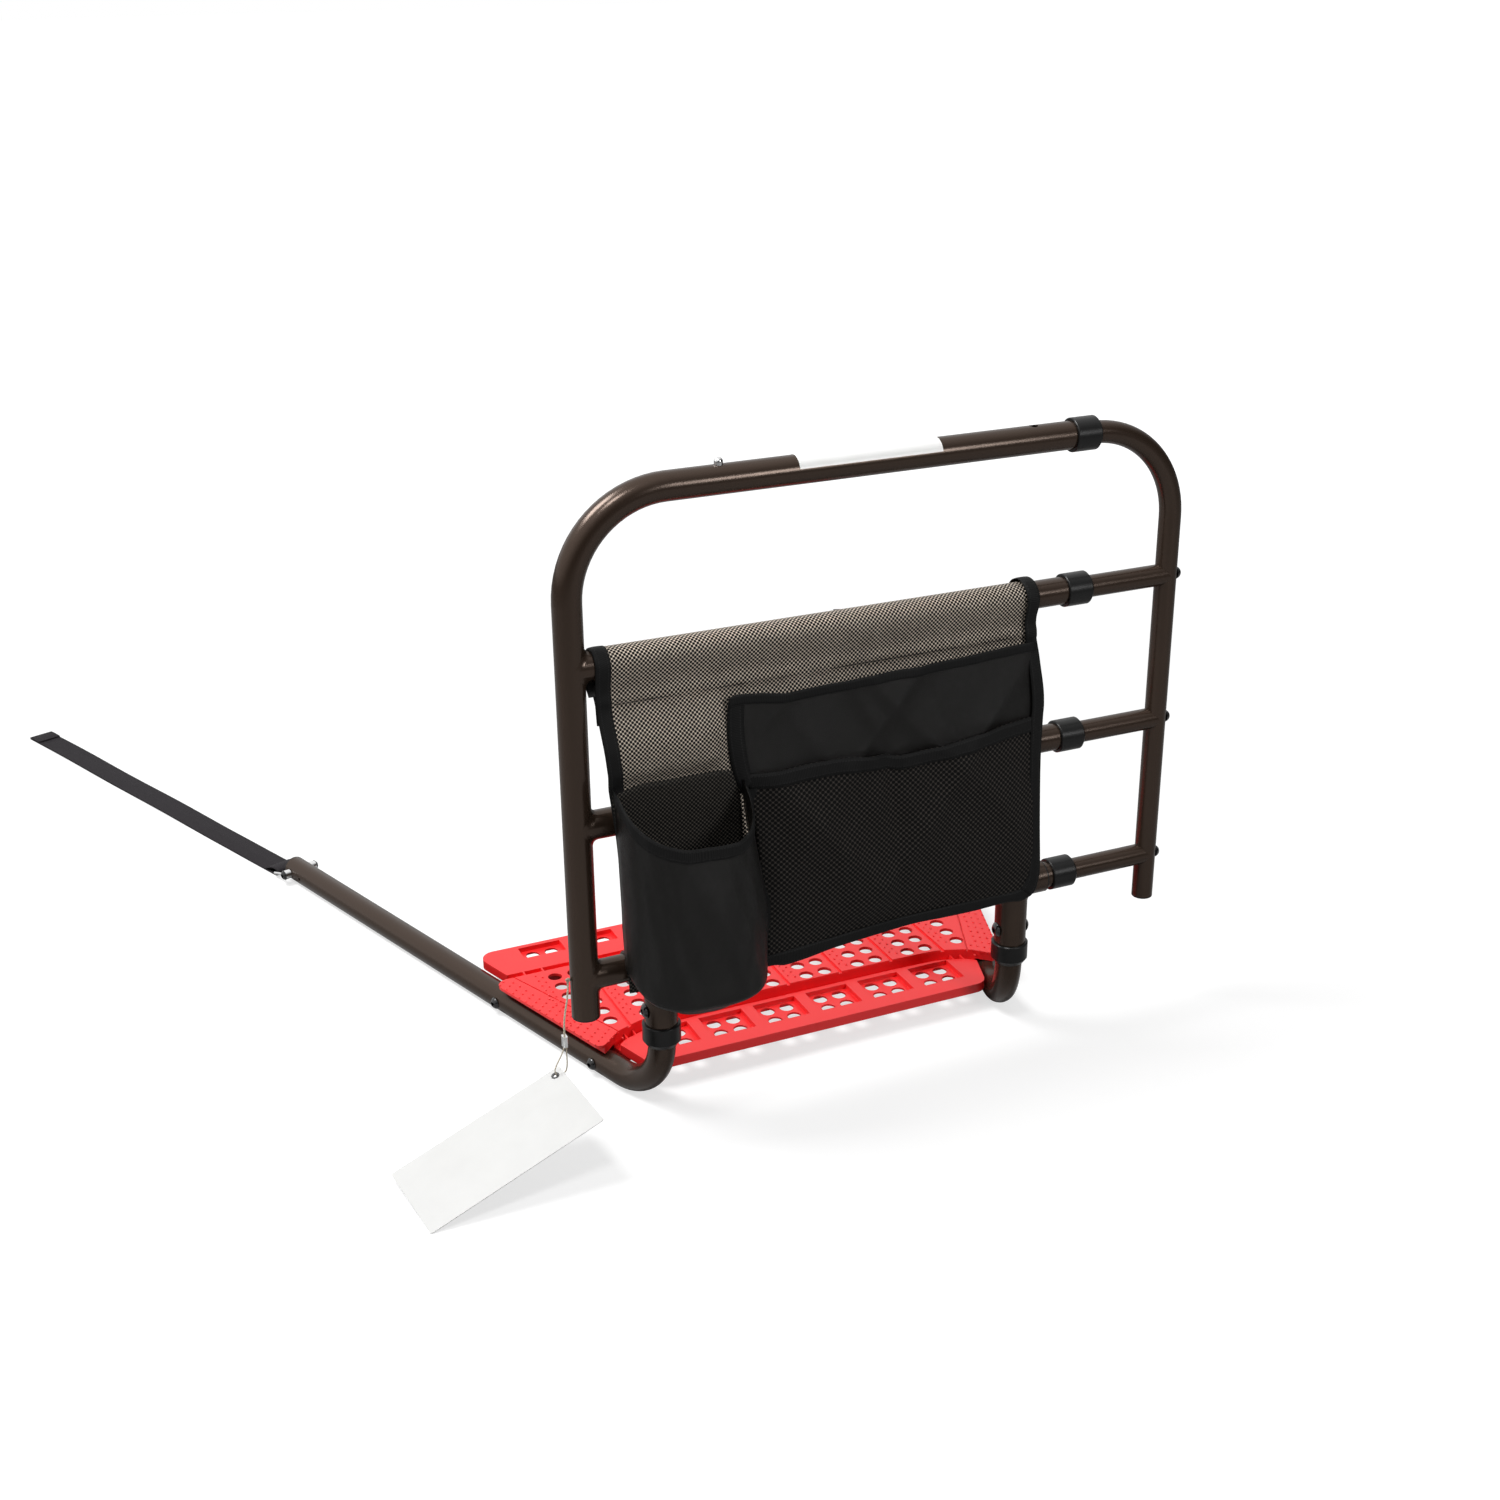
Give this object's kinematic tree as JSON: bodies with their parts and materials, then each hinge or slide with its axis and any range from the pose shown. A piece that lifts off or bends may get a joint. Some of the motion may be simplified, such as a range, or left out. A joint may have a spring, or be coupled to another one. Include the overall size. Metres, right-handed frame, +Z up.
{
  "type": "bed assist rail",
  "caption": "Folding bed assist rail with splayed under-mattress legs, a moulded board, a telescoping barred frame, a hanging pouch and tie straps.",
  "frame": {"origin": "centre of the footprint on the floor, measured without the straps and the hang tag", "axes": "+X along the rail towards the sliding half, +Y from the rail under the bed, +Z up"},
  "size_m": [1.5454, 1.6215, 0.7554],
  "materials": {
    "frame_paint": "satin metallic powder coat",
    "black_plastic": "fine satin moulding",
    "inner_plastic": "plain moulding",
    "black_bolt": "gloss black oxide",
    "chrome_wire": "polished",
    "spring_steel": "plain strip",
    "white_label": "bare vinyl",
    "red_board": "semi-gloss moulding",
    "webbing": "flat woven polyester",
    "panel_mesh": "open two-tone mesh",
    "binding_tape": "ribbed tape",
    "pocket_nylon": "coated nylon",
    "pocket_mesh": "fine mesh",
    "hook_tape": "hook and loop",
    "white_card": "laminated card",
    "dark_eyelet": "satin",
    "lanyard_cord": "twisted cord",
    "ferrule_metal": "crimped"
  },
  "bodies": {
    "base": {"left_post": "frame_paint", "right_post": "frame_paint", "left_pivot_sleeve": "frame_paint", "right_pivot_sleeve": "frame_paint", "pivot_bushings": "black_plastic", "left_post_collar": "black_plastic", "right_post_collar": "black_plastic", "post_rings": "inner_plastic", "post_bolts": "black_bolt", "left_leg": "frame_paint", "right_leg": "frame_paint", "left_leg_plug": "black_plastic", "right_leg_plug": "black_plastic", "board_bolts": "black_bolt", "end_screws": "black_bolt", "left_strap_ring": "chrome_wire", "right_strap_ring": "chrome_wire", "ring_bolts": "black_bolt", "left_strap": "webbing", "right_strap": "webbing", "strap_tabs": "webbing", "platform_board": "red_board", "tag_card": "white_card", "tag_eyelet": "dark_eyelet", "tag_bead": "lanyard_cord", "tag_ferrule": "ferrule_metal", "tag_cord": "lanyard_cord", "tag_loop": "lanyard_cord"},
    "rail": {"frame_tube": "frame_paint", "outer_bar_upper": "frame_paint", "outer_bar_middle": "frame_paint", "outer_bar_lower": "frame_paint", "top_collar": "black_plastic", "bar_collar_upper": "black_plastic", "bar_collar_middle": "black_plastic", "bar_collar_lower": "black_plastic", "rail_label": "white_label", "left_upright_plug": "black_plastic"},
    "extension": {"end_frame_tube": "frame_paint", "inner_bar_upper": "frame_paint", "inner_bar_middle": "frame_paint", "inner_bar_lower": "frame_paint", "bar_saddles": "frame_paint", "bar_bolts": "black_bolt", "tube_glides": "inner_plastic", "spring_clip": "spring_steel", "right_upright_plug": "black_plastic"},
    "button": {"snap_button": "chrome_wire"},
    "pouch": {"pouch_panel": "panel_mesh", "pouch_binding": "binding_tape", "nylon_pocket": "pocket_nylon", "mesh_pocket": "pocket_mesh", "cup_pocket": "pocket_nylon", "pouch_tab": "hook_tape"}
  },
  "joints": [
    {"name": "rail_fold", "type": "hinge", "parent": "base", "child": "rail", "pos_m": [0, -0.35844, 0.1944], "axis": [1, 0, 0], "range_deg": [0, 165]},
    {"name": "pouch_swing", "type": "hinge", "parent": "rail", "child": "pouch", "pos_m": [0, -0.35844, 0.5528], "axis": [1, 0, 0], "range_deg": [-142, 0]},
    {"name": "extension_slide", "type": "slide", "parent": "rail", "child": "extension", "axis": [1, 0, 0], "range_m": [0, 0.373], "deforming": ["snap_button"]},
    {"name": "snap_button_press", "type": "slide", "parent": "extension", "child": "button", "axis": [0, 0, -1], "range_m": [0, 0.0093], "stiffness_N_per_m": 900, "springref_m": -0.003, "deforming": ["spring_clip"]}
  ],
  "couplings": [
    {"joint": "pouch_swing", "follows": "rail_fold", "ratio": -0.86}
  ]
}
